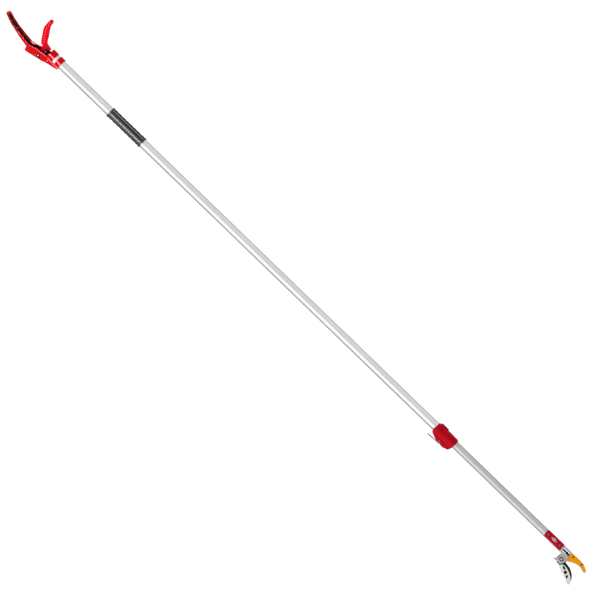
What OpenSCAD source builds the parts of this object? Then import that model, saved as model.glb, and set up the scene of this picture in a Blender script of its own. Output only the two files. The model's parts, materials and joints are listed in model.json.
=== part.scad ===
// Telescoping long-reach pruner that cuts and holds: a squeeze handle works a rod inside
// a two-stage pole, and the rod closes a curved bypass blade against a fixed hook.
//
// The tool lies on its side. +X runs along the pole towards the cutting head, +Y points
// to the side that the squeeze lever stands on, and +Z points up. The origin is under the
// middle of the whole tool, on the surface that it lies on.
//
// Inside the modules, x is counted from the front end of the handle's collar, and y and z
// from the pole's axis. The lock and the head are turned about that axis, as the round
// inner tube can turn in its clamp.

/* [Pole] */
// Outer diameter of the outer tube
outer_d = 25; // [24.8:0.1:25.2]
// Wall of the outer tube
outer_wall = 1.4; // [1.2:0.1:1.4]
// Outer diameter of the inner tube
inner_d = 21.6; // [21.4:0.1:21.8]
// Wall of the inner tube
inner_wall = 1.2; // [1.0:0.1:1.4]
// Front end of the outer tube
outer_front = 1368; // [1300:1:1420]
// How far the inner tube stands out of the outer tube's end
reach_out = 432; // [380:1:900]
// Length of the inner tube
inner_length = 1425; // [1420:1:1500]

/* [Handle] */
// Half of the handle's width, and the height of the pole's axis above the ground
floor_r = 15.2; // [15:0.1:15.6]
// Half width of the channel-shaped grip
grip_half = 13.5; // [12:0.1:14]
// Outer radius of the two collar rings
ring_r = 14.6; // [14:0.1:14.8]
// Distance from the lever's pivot to its link pin
lever_arm = 20; // [19.5:0.1:20.5]
// Half of the angle that the lever turns through
lever_half_turn = 23; // [20:0.5:23]
// Start of the soft grip on the pole
soft_grip_rear = 168; // [140:1:220]
// Length of the soft grip
soft_grip_length = 117; // [100:1:130]
// Number of swells along the soft grip
swells = 8; // [5:1:9]

/* [Telescope lock] */
// Turn of the lock about the pole
lock_turn = 22.5; // [0:0.5:45]
// Grooves on the lock's nose
nose_grooves = 6; // [3:1:7]

/* [Cutting head] */
// Turn of the head about the pole
head_turn = 36; // [0:1:60]
// Half of the angle that the blade turns through
blade_half_turn = 19.5; // [18:0.5:20]
// Thickness of the fixed steel hook
hook_thick = 3; // [2.5:0.1:3]
// Thickness of the cutting blade
blade_thick = 2.4; // [2:0.1:2.4]
// Thickness of the plate that holds the cut stem
hold_thick = 1.8; // [1.2:0.1:2]

/* [Hidden] */
$fn = 64;

// Extent of the tool along x and y, used to put the origin under its middle
reach_back = -206;
reach_right = 75;
reach_left = -46;
head_rise = 88;

// Radii of the pole
outer_r = outer_d / 2;
outer_bore = outer_r - outer_wall;
inner_r = inner_d / 2;
inner_bore = inner_r - inner_wall;
outer_rear = -46;
boom_front = outer_front + reach_out;
boom_rear = boom_front - inner_length;
mid_x = (reach_back + boom_front + head_rise) / 2;
mid_y = (reach_right + reach_left) / 2;

// Fits
run = 0.05;
gap = 0.3;

// Lever
lever_pivot = [-69.4, -21.6];
lever_pin_r = 2.6;
lever_hub_r = 4.5;
lever_half = 7.6;
lever_well_r = 28.5;
arm_half = 2.5;
link_r = 2;
link_pin = lever_pivot + lever_arm * [sin(lever_half_turn), cos(lever_half_turn)];
link_rise = lever_arm * (1 - cos(lever_half_turn));
pull = 2 * lever_arm * sin(lever_half_turn);
ear_inner = arm_half + gap;
ear_outer = 5.4;

// Rod train
pull_r = 4;
pull_bore = 3;
pull_front = 1340;
rod_r = 2.5;
rod_rear = 330;

// Handle
cheek_half = 9.5;
channel_half = grip_half - 2.1;
strut_half = 13;
rib_places = [-181, -157, -133.5];
rib_thick = 1.8;

// Lock, with x counted from the front end of the outer tube
lock_pivot = [9.5, -20.8];
lock_pin_r = 2;
lock_slot_half = 6.4;
lock_lever_half = 6;
plate_y = -26.2;
plate_thick = 1.6;

// Head, with x counted from the front end of the inner tube and z from the rod's axis
hook_back = -1.9;
hook_front = hook_back + hook_thick;
blade_back = hook_front + gap;
blade_front = blade_back + blade_thick;
cheek_back = blade_front + gap;
cheek_front = 7.9;
pad_front = 8.4;
hold_front = blade_front + hold_thick;
blade_pivot = [18, -23.2];
bolt_r = 4;
boss_r = 11.5;
hold_clear_r = 14.3;
blade_arm = pull / (2 * sin(blade_half_turn));
blade_pin = blade_pivot + blade_arm * [sin(blade_half_turn), cos(blade_half_turn)];
blade_rise = blade_arm * (1 - cos(blade_half_turn));
blade_pin_r = 1.5;
pad_rivet_places = [[37.2, 2.3], [66.8, 3.8]];
frame_rivet_places = [[9, 7.4], [20, 7.8]];
plate_rivet_places = [[36, -41], [66, -50]];
cover_rear = -58;
cover_rivet_places = [-50.5, -10];
cover_top = 13;

// ---- Placing ----

module placed() {
    translate([-mid_x, -mid_y, floor_r])
        children();
}

module at_lock() {
    placed()
        rotate([-lock_turn, 0, 0])
            translate([outer_front, 0, 0])
                children();
}

module at_head() {
    placed()
        rotate([-head_turn, 0, 0])
            translate([boom_front, 0, 0])
                children();
}

// ---- Shared shapes ----

// A cylinder along +x from x0 to x1
module rod_x(x0, x1, r) {
    translate([x0, 0, 0])
        rotate([0, 90, 0])
            cylinder(r = r, h = x1 - x0);
}

// A tube along +x
module tube_x(x0, x1, r_out, r_in) {
    difference() {
        rod_x(x0, x1, r_out);
        rod_x(x0 - 1, x1 + 1, r_in);
    }
}

// A flat outline given thickness from z0 to z1
module slab(z0, z1) {
    translate([0, 0, z0])
        linear_extrude(height = z1 - z0)
            children();
}

// A pin along z through a point
module pin_z(place, r, z0, z1) {
    translate([place[0], place[1], z0])
        cylinder(r = r, h = z1 - z0);
}

// A shallow dome of radius r and height h standing on z0
module dome_z(place, r, h, z0) {
    ball = (r * r + h * h) / (2 * h);
    translate([place[0], place[1], z0])
        rotate_extrude()
            intersection() {
                translate([0, h - ball])
                    circle(r = ball);
                square([r, h]);
            }
}

// A round-ended slot as a flat outline, from one centre to the other
module slot_2d(from, to, r) {
    hull() {
        translate(from)
            circle(r = r, $fn = 32);
        translate(to)
            circle(r = r, $fn = 32);
    }
}

// Points of an arc, for use in an outline
function arc(centre, r, from, to, steps) =
    [for (i = [0 : steps]) centre + r * [cos(from + (to - from) * i / steps),
                                         sin(from + (to - from) * i / steps)]];

// ---- Handle ----

grip_palm = [[-104, -33], [-106, -29.2], [-110, -28.3], [-122, -26.1], [-140, -22.4],
             [-158, -17.4], [-176, -12], [-188, -7.7], [-200, -2]];
grip_rim = [[-194, 1.9], [-182, -2.5], [-170, -5.5], [-158, -8.3], [-140, -11.3], [-122, -13.6],
            [-110, -15]];
grip_tip = arc([-202.6, 1.2], 3.4, 238, 50, 8);
grip_outline = concat(grip_palm, grip_tip, grip_rim, [[-92, -15], [-92, -34.4]]);
cheek_outline = [[-47, -24.2], [-101, -37.2], [-106, -36], [-107.5, -29], [-105, -18], [-98, -15],
                 [-92, -12.4], [-86, -9.9], [-80, -8.6], [-68, -7.2], [-62, -5.8], [-52, -5],
                 [-47, 0]];
strut_outline = [[-7.5, -14.3], [-101, -36.5], [-101, -24], [-48, -8], [-7.5, -8]];
cavity_outline = [[-50.4, 20], [-50.4, -22.4], [-75, -28], [-97, -30], [-97, 20]];
channel_floor = [[-108, -26], [-122, -23.4], [-140, -19.7], [-158, -14.7], [-176, -9.3],
                 [-188, -5], [-198, -0.2]];
channel_outline = concat([[-96, 6], [-96, -27.2]], channel_floor,
                         [[-200.4, 2.4], [-200.4, 8], [-189, 12], [-150, 6]]);

module handle_body() {
    color("red")
        placed() {
            difference() {
                union() {
                    slab(-grip_half, grip_half)
                        polygon(grip_outline);
                    slab(-floor_r, floor_r)
                        polygon(cheek_outline);
                    slab(-strut_half, strut_half)
                        polygon(strut_outline);
                    rod_x(-50.4, -30.4, ring_r);
                    rod_x(-23.4, -7.5, ring_r);
                }
                rod_x(outer_rear, 0, outer_r);
                rod_x(-60, outer_rear + 1, 9);
                rod_x(-30.4, -23.4, outer_r + 0.4);
                slab(-cheek_half, cheek_half)
                    polygon(cavity_outline);
                slab(-channel_half, channel_half)
                    polygon(channel_outline);
                strut_recess(1);
                strut_recess(-1);
                pin_z(lever_pivot, lever_pin_r, -floor_r - 1, floor_r + 1);
                pin_z(lever_pivot, 6.2, floor_r - 2.6, floor_r + 1);
                pin_z(lever_pivot, 6.2, -floor_r - 1, 2.6 - floor_r);
                pin_z([-15.5, 0], 2, -ring_r - 1, -5);
            }
            grip_ribs();
        }
}

// Triangular recess in each side of the strut under the rings
module strut_recess(side) {
    mirror([0, 0, side > 0 ? 0 : 1])
        slab(4, 20)
            polygon([[-47, -14.6], [-24, -14.6], [-24, -16.2], [-47, -21.4]]);
}

// Thin walls across the grip's channel
module grip_ribs() {
    for (x = rib_places)
        intersection() {
            slab(-channel_half, channel_half)
                polygon(channel_outline);
            slab(-channel_half, channel_half)
                offset_floor(x);
        }
}

// One rib's outline: from the channel's floor to a little under its rim
module offset_floor(x) {
    mid = grip_line(x);
    translate([x - rib_thick / 2, mid - 20])
        square([rib_thick, 19.5]);
}

// Height of the grip's rim at x, less the rib's drop
function grip_line(x) = lookup(x, [for (p = grip_rim) p - [0, 1.5]]);

module grip_inlay() {
    stations = concat([-196], rib_places, [-108]);
    color("#151515")
        placed()
            for (i = [0 : len(stations) - 2])
                slab(gap - channel_half, channel_half - gap)
                    inlay_pad(stations[i] + 1.4, stations[i + 1] - 1.4);
}

// A thin pad on the channel's floor between two stations
module inlay_pad(x0, x1) {
    polygon([[x0, floor_line(x0)], [x1, floor_line(x1)],
             [x1, floor_line(x1) + 2.4], [x0, floor_line(x0) + 2.4]]);
}

// Height of the channel's floor, a little proud so that the pads clear it
function floor_line(x) = 0.25 + lookup(x, channel_floor);

module lever_pivot_pin() {
    color("silver")
        placed() {
            pin_z(lever_pivot, lever_pin_r, -floor_r + 1.2, floor_r - 2.6);
            dome_z(lever_pivot, 4.6, 2.3, floor_r - 2.6);
        }
}

module pivot_clip() {
    color("dimgray")
        placed()
            difference() {
                pin_z(lever_pivot, 4.8, -floor_r + 1.4, -floor_r + 2.6);
                pin_z(lever_pivot, lever_pin_r, -floor_r, floor_r);
            }
}

module collar_screw() {
    color("silver")
        placed()
            mirror([0, 0, 1]) {
                pin_z([-15.5, 0], 2, outer_r - 0.5, ring_r);
                dome_z([-15.5, 0], 3.4, 0.5, ring_r);
            }
}

module label_band() {
    color("white")
        placed()
            tube_x(-30.2, -23.6, outer_r + 0.25, outer_r);
}

// ---- Pole ----

module outer_tube() {
    color("silver")
        placed()
            difference() {
                tube_x(outer_rear, outer_front, outer_r, outer_bore);
                pin_z([-15.5, 0], 2, -outer_r - 1, 0.5 - outer_r);
            }
}

// Radius of the soft grip's skin at a share u of its swelling length
function swell_r(u) = outer_r + 1.1 + 0.75 * abs(sin(180 * swells * u));

module soft_grip() {
    flange = 5;
    steps = swells * 6;
    body = soft_grip_length - 2 * flange;
    skin = [for (i = [0 : steps]) [swell_r(i / steps), flange + body * i / steps]];
    outline = concat([[outer_r, 0], [floor_r, 0], [floor_r, flange - 1]], skin,
                     [[floor_r, soft_grip_length - flange + 1], [floor_r, soft_grip_length],
                      [outer_r, soft_grip_length]]);
    color("#202020")
        placed()
            translate([soft_grip_rear, 0, 0])
                rotate([0, 90, 0])
                    rotate_extrude()
                        polygon(outline);
}

module rear_rod_guide() {
    color("white")
        placed()
            tube_x(-40, -20, outer_bore, pull_r + run);
}

// ---- Telescope lock ----

// The lock seen from its side
lock_outline = [[-24.6, -8.6], [-20.4, -16.6], [-2, -24.4], [30.8, -26.5], [40.7, -22.9],
                [44.6, -13.5], [45.9, 12.2], [42, 15.2], [7.4, 15.2], [7.4, 18.2],
                [-16.5, 18.2], [-16.5, 14.6], [-22.2, 13.8]];

module lock_housing() {
    color("#b0001a")
        at_lock()
            difference() {
                intersection() {
                    slab(-20, 20)
                        polygon(lock_outline);
                    lock_section();
                }
                rod_x(-40, 0, outer_r);
                rod_x(-1, 60, inner_r + 0.4);
                rod_x(24, 40, 12.6);
                slab(-lock_slot_half, lock_slot_half)
                    polygon(lever_slot);
                slab(-lock_slot_half, lock_slot_half)
                    polygon([[16.8, plate_y], [31, plate_y], [31, -30], [16.8, -30]]);
                pin_z(lock_pivot, lock_pin_r, -20, 20);
                lock_screw_hole();
                nose_grooving();
            }
}

// Slot that the clamp lever and the brake shoe work in
lever_slot = [[0.4, -8], [18.8, -8], [18.8, -25.8], [16.9, -25.8], [16.9, -30], [-8, -30],
              [-8, -17], [0.4, -17]];

// The lock seen along the pole: an octagon around the tube, a block on top and a keel below
module lock_section() {
    translate([-30, 0, 0])
        rotate([90, 0, 90])
            linear_extrude(height = 80)
                union() {
                    circle(r = floor_r / cos(22.5), $fn = 8);
                    translate([0, -6])
                        square([20, 12]);
                    polygon([[-8, -14], [-8, 14], [-18, 10], [-28, 9], [-28, -9], [-18, -10]]);
                }
}

module nose_grooving() {
    for (i = [0 : nose_grooves - 1])
        translate([13 + 4.6 * i, 10.5, -14])
            cube([1.5, 8, 28]);
}

module lock_screw_hole() {
    translate([-6, 0, 0])
        rotate([-90, 0, 0]) {
            cylinder(r = 2, h = 30);
            translate([0, 0, 15])
                cylinder(r = 3.8, h = 10);
        }
}

module lock_clamp_screw() {
    color("dimgray")
        at_lock()
            translate([-6, 0, 0])
                rotate([-90, 0, 0])
                    difference() {
                        union() {
                            translate([0, 0, outer_r])
                                cylinder(r = 2, h = 2.5);
                            translate([0, 0, 15])
                                cylinder(r = 3.6, h = 2.6);
                        }
                        translate([0, 0, 16])
                            cylinder(r = 1.8, h = 3, $fn = 6);
                    }
}

module lock_pivot_pin() {
    color("silver")
        at_lock() {
            pin_z(lock_pivot, lock_pin_r, -9.8, 10.1);
            dome_z(lock_pivot, 2.4, 0.8, 10.1);
        }
}

module lock_brake_shoe() {
    color("#303030")
        at_lock()
            difference() {
                translate([1, -15.5, -lock_slot_half])
                    cube([15.3, 8, 2 * lock_slot_half]);
                rod_x(-5, 30, inner_r + gap);
            }
}

module lock_clamp_plate() {
    color("silver")
        at_lock()
            translate([17.2, plate_y - plate_thick, -lock_slot_half])
                cube([13, plate_thick, 2 * lock_slot_half]);
}

module lock_lever() {
    low = plate_y - plate_thick;
    color("silver")
        at_lock()
            difference() {
                union() {
                    slab(-lock_lever_half, lock_lever_half)
                        polygon([[14.6, low], [14.6, plate_y], [-14, plate_y], [-20, -27.2],
                                 [-26.6, -27.8], [-26.6, -29.4], [-20, -28.8], [-14, low]]);
                    slab(-lock_lever_half + 1, lock_lever_half - 1)
                        polygon([[14, -26.6], [14.2, -20.8], [4.8, -20.8], [1, -26.6]]);
                    pin_z(lock_pivot, 4.8, -lock_lever_half + 1, lock_lever_half - 1);
                }
                pin_z(lock_pivot, lock_pin_r + run, -10, 10);
            }
}

module front_guide_bush() {
    color("white")
        at_lock()
            tube_x(24, 40, 12.6, inner_r + run);
}

// ---- Lever and rod train ----

lever_left = [[-78, 2], [-84.2, 6], [-90.5, 14.5], [-97, 27], [-103, 38], [-106, 47],
              [-106.6, 58], [-106.4, 68]];
lever_right = [[-95.6, 68], [-94.6, 59], [-92, 52], [-86.8, 42], [-81, 31], [-76.5, 20.5],
               [-71.5, 14.5], [-62, 12], [-54.5, 9.6], [-54.5, 7.4], [-66, 7.4]];
lever_outline = concat(lever_left, arc([-101, 69.5], 5.5, 165, 15, 6), lever_right);
lever_arm_outline = [[-73.6, -20], [-79, 4], [-74, 9], [-60, 9], [-57.3, -2.4], [-58.5, -6],
                     [-62.6, -13], [-65.2, -22]];

module trigger_lever() {
    color("red")
        placed()
            difference() {
                union() {
                    slab(-lever_half, lever_half)
                        difference() {
                            polygon(lever_outline);
                            translate(lever_pivot)
                                circle(r = lever_well_r);
                        }
                    slab(-arm_half, arm_half)
                        polygon(lever_arm_outline);
                    pin_z(lever_pivot, lever_hub_r, -lever_half, arm_half);
                }
                pin_z(lever_pivot, lever_pin_r + run, -20, 20);
                pin_z(link_pin, link_r, -20, 20);
            }
}

module lever_link_pin() {
    color("silver")
        placed() {
            pin_z(link_pin, link_r, -6.6, 5.6);
            dome_z(link_pin, 2.9, 1, 5.6);
            pin_z(link_pin, 2.9, -6.6, -5.6);
        }
}

// Torsion spring: three turns beside the hub and one leg lying in the grip's channel
module lever_return_spring() {
    wire = 1.1;
    coil_r = 4.5;
    color("gainsboro")
        placed() {
            for (i = [0 : 2])
                difference() {
                    pin_z(lever_pivot, coil_r, 2.9 + 1.5 * i, 2.9 + wire + 1.5 * i);
                    pin_z(lever_pivot, coil_r - wire, 0, 10);
                }
            translate([lever_pivot[0] - 33, lever_pivot[1] + coil_r - wire, 5.9])
                cube([33, wire, wire]);
        }
}

module pull_yoke() {
    color("#262626")
        placed()
            difference() {
                union() {
                    slab(-ear_outer, ear_outer)
                        translate([link_pin[0] - 4.4, -7.6])
                            square([13, 11]);
                    rod_x(link_pin[0] + 6.6, outer_rear + 4, 5.4);
                }
                slab(-ear_inner, ear_inner)
                    translate([link_pin[0] - 6, -9])
                        square([12.4, 14]);
                slab(-10, 10)
                    slot_2d(link_pin + [0, -0.4], link_pin + [0, link_rise + 0.4], link_r + gap);
                rod_x(-52, -30, pull_r);
                pin_z([-47, 0], 1.2, -10, 10);
            }
}

module yoke_rivet() {
    color("silver")
        placed()
            pin_z([-47, 0], 1.2, -5.3, 5.3);
}

module pull_tube() {
    color("lightgray")
        placed()
            difference() {
                tube_x(-52, pull_front, pull_r, pull_bore);
                pin_z([-47, 0], 1.2, -10, 10);
            }
}

module rod_clutch() {
    color("goldenrod")
        placed()
            difference() {
                rod_x(pull_front - 12, pull_front + 22, 7);
                rod_x(pull_front - 13, pull_front, pull_r);
                rod_x(pull_front - 1, pull_front + 23, rod_r + run);
            }
}

// ---- Boom ----

module tail_bush() {
    color("white")
        placed()
            difference() {
                union() {
                    rod_x(boom_rear - 12, boom_rear - 0.1, outer_bore - run);
                    rod_x(boom_rear - 2, boom_rear + 14, inner_bore - run);
                }
                rod_x(boom_rear - 20, boom_rear + 20, pull_r + gap);
            }
}

module inner_tube() {
    color("silver")
        at_head()
            difference() {
                tube_x(-inner_length, 0, inner_r, inner_bore);
                for (x = cover_rivet_places)
                    pin_z([x, 0], 2, 5, 20);
            }
}

module head_cover() {
    color("#b0001a")
        at_head()
            difference() {
                intersection() {
                    slab(3, cover_top)
                        cover_outline();
                    translate([0, 0, cover_top - 26])
                        rod_x(cover_rear - 1, 1, 26);
                }
                rod_x(cover_rear - 5, 5, inner_r);
                for (x = cover_rivet_places)
                    pin_z([x, 0], 2, 0, 20);
            }
}

// The cover plate from above: a strip with clipped corners
module cover_outline() {
    half = 10;
    clip = 3;
    polygon([[cover_rear, -half + clip], [cover_rear + clip, -half], [-clip, -half],
             [0, -half + clip], [0, half - clip], [-clip, half],
             [cover_rear + clip, half], [cover_rear, half - clip]]);
}

module cover_rivets() {
    color("#9a8f80")
        at_head()
            for (x = cover_rivet_places) {
                pin_z([x, 0], 2, 6, cover_top);
                dome_z([x, 0], 2.8, 0.9, cover_top);
            }
}

module cover_badge() {
    color("gainsboro")
        at_head()
            slab(cover_top, cover_top + 0.5)
                slot_2d([-35.5, 0], [-25.5, 0], 3.4);
}

// Upper arm of the frame, which carries the hook
arm_outline = [[0, 4.8], [28, 4.8], [28, 8.2], [26.5, 9.8], [0, 8.6]];
// Cheek of the frame, which carries the pivot bolt and ends in a spur
cheek_plate = concat([[0, 8.6], [26.5, 9.8], [27.9, 8.2], [30.6, -15.7], [29.5, -23.2]],
                     arc(blade_pivot, boss_r, 0, -105, 8),
                     [[1.5, -36.4], [0.6, -35.3], [3.5, -31.1], [7.4, -25.5], [8.6, -19.5],
                      [8.3, -15.5], [6, -12.2], [3, -9], [0, -8]]);
window = [[4, -5], [32, -5], [32, 4.4], [4, 4.4]];

module head_frame() {
    color("#c4c1c2")
        at_head()
            difference() {
                union() {
                    rod_x(cover_rear + 3, 0, inner_bore);
                    intersection() {
                        rod_x(0, 4, inner_r);
                        slab(-8, cheek_front)
                            square([20, 40], center = true);
                    }
                    slab(cheek_back, cheek_front)
                        difference() {
                            polygon(cheek_plate);
                            translate([4, -5])
                                square([24, 9.4]);
                        }
                    slab(hook_front, cheek_front)
                        polygon(arm_outline);
                }
                rod_x(cover_rear, 5, 5);
                pin_z(blade_pivot, bolt_r, 0, 20);
                for (p = frame_rivet_places)
                    pin_z(p, 1.3, -5, 20);
                for (x = cover_rivet_places)
                    pin_z([x, 0], 2, 6, 20);
            }
}

module frame_rivets() {
    color("silver")
        at_head()
            for (p = frame_rivet_places)
                pin_z(p, 1.3, hook_back, cheek_front);
}

// The hook's outline, shared by the steel hook and the coloured pad in front of it
hook_spine = [[27.8, 8.8], [46.5, 9.4], [63.4, 8.8], [70.8, 7.4], [77.2, 5], [82.8, 2.4],
              [87.3, -0.6]];
hook_tip = [[88.2, -2.6], [87.7, -4.6], [85.5, -5.6], [82, -5]];
hook_inner = [[76, -2.6], [69.7, -1.8], [64, -1.7], [58, -2.7], [51.5, -4.7], [45.7, -7.3],
              [38.2, -12], [31.2, -15.8]];

module hook_blade() {
    color("#8d8f93")
        at_head()
            difference() {
                union() {
                    slab(hook_back, hook_front)
                        translate([0, -0.9])
                            polygon(concat(hook_spine, hook_tip, hook_inner, [[29, -20], [27, 4]]));
                    slab(hook_back, hook_front)
                        polygon([[6, 5], [33, 5], [33, 8.4], [6, 8.6]]);
                    slab(hook_back, hook_front)
                        polygon([[8, -6], [34, -6], [31.6, -16.4], [29.2, -24], [7.2, -24]]);
                    pin_z(blade_pivot, boss_r - 0.4, hook_back, hook_front);
                }
                slab(hook_back - 1, hook_front + 1)
                    polygon(window);
                pin_z(blade_pivot, bolt_r, -5, 5);
                for (p = concat(pad_rivet_places, frame_rivet_places))
                    pin_z(p, 1.3, -5, 5);
            }
}

module hold_pad() {
    color("orange")
        at_head()
            difference() {
                union() {
                    slab(cheek_back, pad_front)
                        polygon(concat([[28.3, 8.6]], [for (i = [1 : 6]) hook_spine[i]], hook_tip,
                                       hook_inner, [[30.9, -15.6]]));
                    for (p = pad_rivet_places)
                        pin_z(p, 2.9, hook_front, cheek_back + 0.5);
                }
                for (p = pad_rivet_places)
                    pin_z(p, 1.3, -5, 20);
            }
}

module pad_rivets() {
    color("#5a3b3a")
        at_head()
            for (p = pad_rivet_places) {
                pin_z(p, 1.3, hook_back, pad_front);
                dome_z(p, 2.3, 0.7, pad_front);
            }
}

module pivot_bolt() {
    color("silver")
        at_head() {
            pin_z(blade_pivot, bolt_r, -7, cheek_front + 0.6);
            dome_z(blade_pivot, 7.2, 4, cheek_front + 0.6);
        }
}

module pivot_washers() {
    color("gray")
        at_head()
            difference() {
                union() {
                    pin_z(blade_pivot, 7.6, cheek_front, cheek_front + 0.6);
                    pin_z(blade_pivot, 7.6, hook_back - 0.8, hook_back);
                }
                pin_z(blade_pivot, bolt_r, -20, 20);
            }
}

module pivot_nut() {
    color("dimgray")
        at_head()
            difference() {
                translate([blade_pivot[0], blade_pivot[1], hook_back - 5.3])
                    cylinder(r = 7, h = 4.5, $fn = 6);
                pin_z(blade_pivot, bolt_r, -20, 20);
            }
}

module front_rod_bush() {
    color("white")
        at_head()
            tube_x(-18, -2, 5, rod_r + run);
}

module pull_rod() {
    color("#202020")
        at_head()
            rod_x(rod_rear - boom_front, blade_pin[0] - 7.5, rod_r);
}

module rod_end() {
    mid = blade_pin + [0, blade_rise / 2];
    color("#202020")
        at_head()
            difference() {
                union() {
                    pin_z(mid, 3.4, -1.6, hook_front);
                    translate([blade_pin[0] - 6.5, -2.5, -1.6])
                        cube([6.5, 5, hook_front + 1.6]);
                    rod_x(blade_pin[0] - 9, blade_pin[0] - 6, 3.4);
                }
                rod_x(blade_pin[0] - 10, blade_pin[0] - 7.5, rod_r);
                slab(-5, 5)
                    slot_2d(blade_pin + [0, -0.1], blade_pin + [0, blade_rise + 0.1],
                            blade_pin_r + 0.25);
            }
}

// ---- Blade ----

blade_edge = [[32.7, -20.6], [40, -21.3], [46.8, -22.4], [52.7, -24.4], [58.2, -27.1],
              [66.3, -32.3], [72.3, -39.3], [77, -48]];
blade_back_edge = [[78.4, -56], [73.4, -58.4], [62.4, -53.4], [51, -49.5], [43, -47.2],
                   [31.4, -41.7], [21.6, -37.6]];
hold_edge = [[28.6, -30.1], [36.5, -28.6], [44, -29.3], [51.5, -31.4], [58.7, -34.4],
             [65, -38.4], [70.2, -42.5], [77.2, -49.5], [79.4, -54.5], [78.6, -58]];
blade_tail = [[28, -27], [33, -20.6], blade_pin + [4, 0], blade_pin + [-4, 0], [9, -22]];

module cutting_blade() {
    color("#161616")
        at_head()
            difference() {
                union() {
                    slab(blade_back, blade_front)
                        polygon(concat(blade_edge, blade_back_edge, [[20, -30]]));
                    slab(blade_back, blade_front)
                        polygon(blade_tail);
                    slab(blade_back, blade_front)
                        polygon([[14.8, -37], [19.2, -37], [22, -30], [14, -30]]);
                    pin_z(blade_pivot, boss_r, blade_back, blade_front);
                    pin_z(blade_pin, 4, blade_back, blade_front);
                }
                pin_z(blade_pivot, bolt_r + run, -5, 20);
                pin_z(blade_pin, blade_pin_r, -5, 20);
                for (p = plate_rivet_places)
                    pin_z(p, 1.3, -5, 20);
            }
}

module hold_plate() {
    color("gainsboro")
        at_head()
            difference() {
                slab(blade_front, hold_front)
                    difference() {
                        polygon(concat(hold_edge, [for (i = [1 : 6]) blade_back_edge[i]]));
                        translate(blade_pivot)
                            circle(r = hold_clear_r);
                        leaf_window();
                        corner_window();
                    }
                pin_z([49.5, -40.2], 4.4, -5, 20);
                for (p = plate_rivet_places)
                    pin_z(p, 1.3, -5, 20);
            }
}

// Leaf-shaped window near the pivot
module leaf_window() {
    intersection() {
        translate([41.4, -28])
            circle(r = 8);
        translate([37.4, -40.5])
            circle(r = 8);
    }
}

// Triangular window near the tip
module corner_window() {
    polygon([[59, -41.6], [62.5, -45.2], [62.5, -49], [56.5, -46.4]]);
}

module plate_rivets() {
    color("silver")
        at_head()
            for (p = plate_rivet_places) {
                pin_z(p, 1.3, blade_back, hold_front);
                dome_z(p, 1.9, 0.5, hold_front);
            }
}

module blade_link_pin() {
    color("silver")
        at_head() {
            pin_z(blade_pin, blade_pin_r, -1.7, blade_front);
            pin_z(blade_pin, 2.6, -2.7, -1.7);
        }
}

handle_body();
grip_inlay();
lever_pivot_pin();
pivot_clip();
collar_screw();
label_band();
outer_tube();
soft_grip();
rear_rod_guide();
lock_housing();
lock_pivot_pin();
lock_brake_shoe();
lock_clamp_plate();
lock_clamp_screw();
front_guide_bush();
trigger_lever();
lever_link_pin();
lever_return_spring();
pull_yoke();
yoke_rivet();
pull_tube();
rod_clutch();
lock_lever();
tail_bush();
inner_tube();
head_cover();
cover_rivets();
cover_badge();
head_frame();
frame_rivets();
hook_blade();
hold_pad();
pad_rivets();
pivot_bolt();
pivot_nut();
pivot_washers();
front_rod_bush();
pull_rod();
rod_end();
cutting_blade();
hold_plate();
plate_rivets();
blade_link_pin();
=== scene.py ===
"""Looks of the long-reach cut-and-hold pruner: detailed pieces, finishes, floor, light and camera.

Shapes are worked out in millimetres in the tool's own frame: x runs along the pole from the front
end of the handle's collar, y points to the lever's side and z up, both counted from the pole's
axis. The lock and the head have frames of their own, turned about that axis.
"""

import json
import math
from itertools import product

import bmesh
import bpy
import numpy as np
from mathutils import Matrix, Vector

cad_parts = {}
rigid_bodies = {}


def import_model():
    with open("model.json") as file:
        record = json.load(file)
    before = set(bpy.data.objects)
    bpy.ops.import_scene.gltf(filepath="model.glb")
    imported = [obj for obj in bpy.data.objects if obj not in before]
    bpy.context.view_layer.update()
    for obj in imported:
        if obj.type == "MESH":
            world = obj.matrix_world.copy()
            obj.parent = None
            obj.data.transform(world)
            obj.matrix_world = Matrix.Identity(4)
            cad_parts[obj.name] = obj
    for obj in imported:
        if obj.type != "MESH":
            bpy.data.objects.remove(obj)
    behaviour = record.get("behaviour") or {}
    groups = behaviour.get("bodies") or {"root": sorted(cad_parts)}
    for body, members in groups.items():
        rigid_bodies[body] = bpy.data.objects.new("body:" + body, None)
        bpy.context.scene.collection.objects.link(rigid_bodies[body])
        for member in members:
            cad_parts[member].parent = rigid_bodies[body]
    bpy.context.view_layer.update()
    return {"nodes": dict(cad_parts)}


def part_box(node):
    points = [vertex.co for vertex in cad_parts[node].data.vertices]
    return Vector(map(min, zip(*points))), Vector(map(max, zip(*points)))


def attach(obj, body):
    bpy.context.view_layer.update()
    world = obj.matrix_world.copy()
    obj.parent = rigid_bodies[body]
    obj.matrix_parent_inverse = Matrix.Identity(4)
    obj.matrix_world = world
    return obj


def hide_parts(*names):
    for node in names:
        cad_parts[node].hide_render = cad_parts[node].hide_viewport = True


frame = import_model()
NODE = frame["nodes"]

# ---- Frames ----

MM = 0.001
TUBE_REAR = -46.0
LOCK_TURN = math.radians(-22.5)
HEAD_TURN = math.radians(-36.0)

TUBE_LO, TUBE_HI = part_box("outer_tube")
AXIS_Y = (TUBE_LO.y + TUBE_HI.y) / 2
AXIS_Z = (TUBE_LO.z + TUBE_HI.z) / 2
TOOL_X = TUBE_LO.x - TUBE_REAR * MM
OUTER_R = (TUBE_HI.y - TUBE_LO.y) / 2 / MM
INNER_R = (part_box("inner_tube")[1].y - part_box("inner_tube")[0].y) / 2 / MM


def placed(x, turn=0.0):
    """Matrix from a millimetre frame on the pole's axis at row-frame x to the row frame."""
    return (Matrix.Translation((x, AXIS_Y, AXIS_Z)) @ Matrix.Rotation(turn, 4, "X")
            @ Matrix.Scale(MM, 4))


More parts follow.
